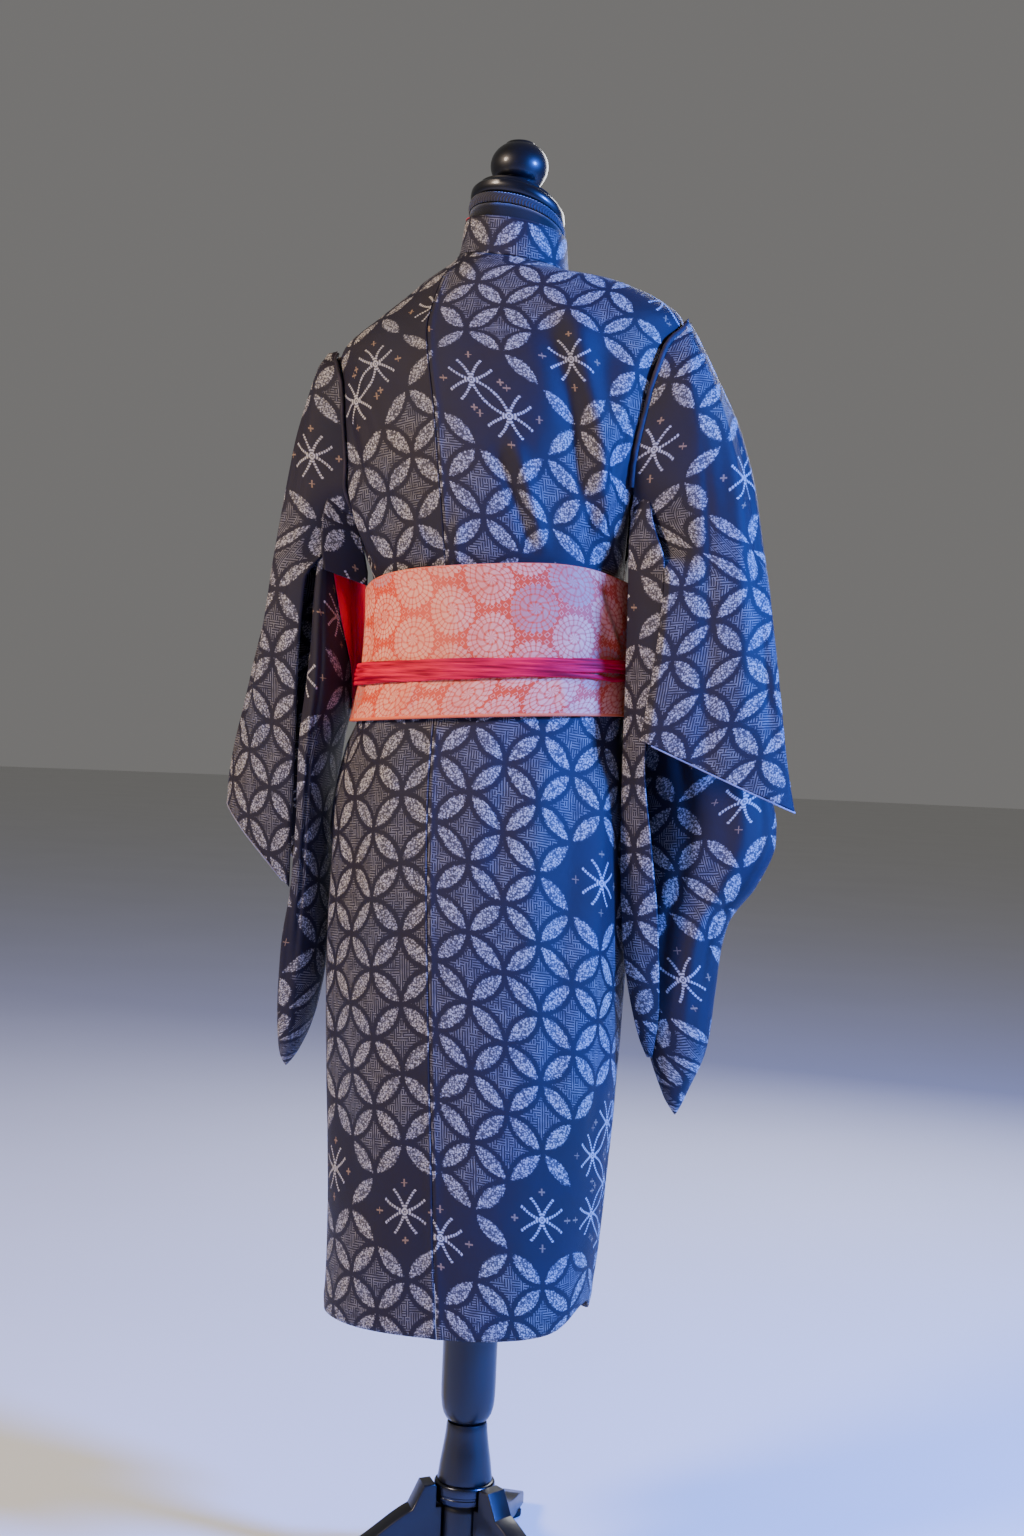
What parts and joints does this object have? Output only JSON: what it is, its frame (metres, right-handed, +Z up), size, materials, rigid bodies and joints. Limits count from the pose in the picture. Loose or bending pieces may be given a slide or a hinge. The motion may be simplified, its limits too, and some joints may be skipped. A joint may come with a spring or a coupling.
{
  "type": "haori jacket on a limbless dress form",
  "caption": "Haori jacket in a kimono cut with hanging sleeves, wide belt and sash, dressed on a limbless form with a turned pole and a tripod foot.",
  "frame": {"origin": "on the floor, under the middle of the whole object's box", "axes": "+Z up, +Y towards the jacket's front, -Y out of its back, +X towards its wearer's right"},
  "size_m": [0.629, 0.3666, 1.5595],
  "materials": {
    "kimono_cloth": "dark purple-brown silk with a pale interlaced-circle pattern, soft sheen",
    "lining": "plain red silk lining, soft sheen",
    "obi_brocade": "salmon-orange brocade with pale woven flower roundels",
    "sash_crepe": "crimson crepe sash in fine lengthwise pleats",
    "form_jersey": "black stretch jersey over a smooth form",
    "black_wood": "turned hardwood in satin black lacquer",
    "dark_metal": "dark polished collar",
    "rubber_pad": "matt black rubber"
  },
  "bodies": {
    "root": {"back_left": "kimono_cloth", "back_right": "kimono_cloth", "front_left": "kimono_cloth", "front_right": "kimono_cloth", "collar": "kimono_cloth", "sleeve_left": "kimono_cloth", "sleeve_right": "kimono_cloth", "pouch_left": "kimono_cloth", "pouch_right": "kimono_cloth", "lining_left": "lining", "lining_right": "lining", "obi": "obi_brocade", "sash": "sash_crepe", "form_body": "form_jersey", "neck_cap": "black_wood", "finial": "black_wood", "pole": "black_wood", "pole_foot": "black_wood", "hub_ring": "dark_metal", "hub": "black_wood", "leg_1": "black_wood", "foot_1": "rubber_pad", "leg_2": "black_wood", "foot_2": "rubber_pad", "leg_3": "black_wood", "foot_3": "rubber_pad"}
  },
  "joints": []
}
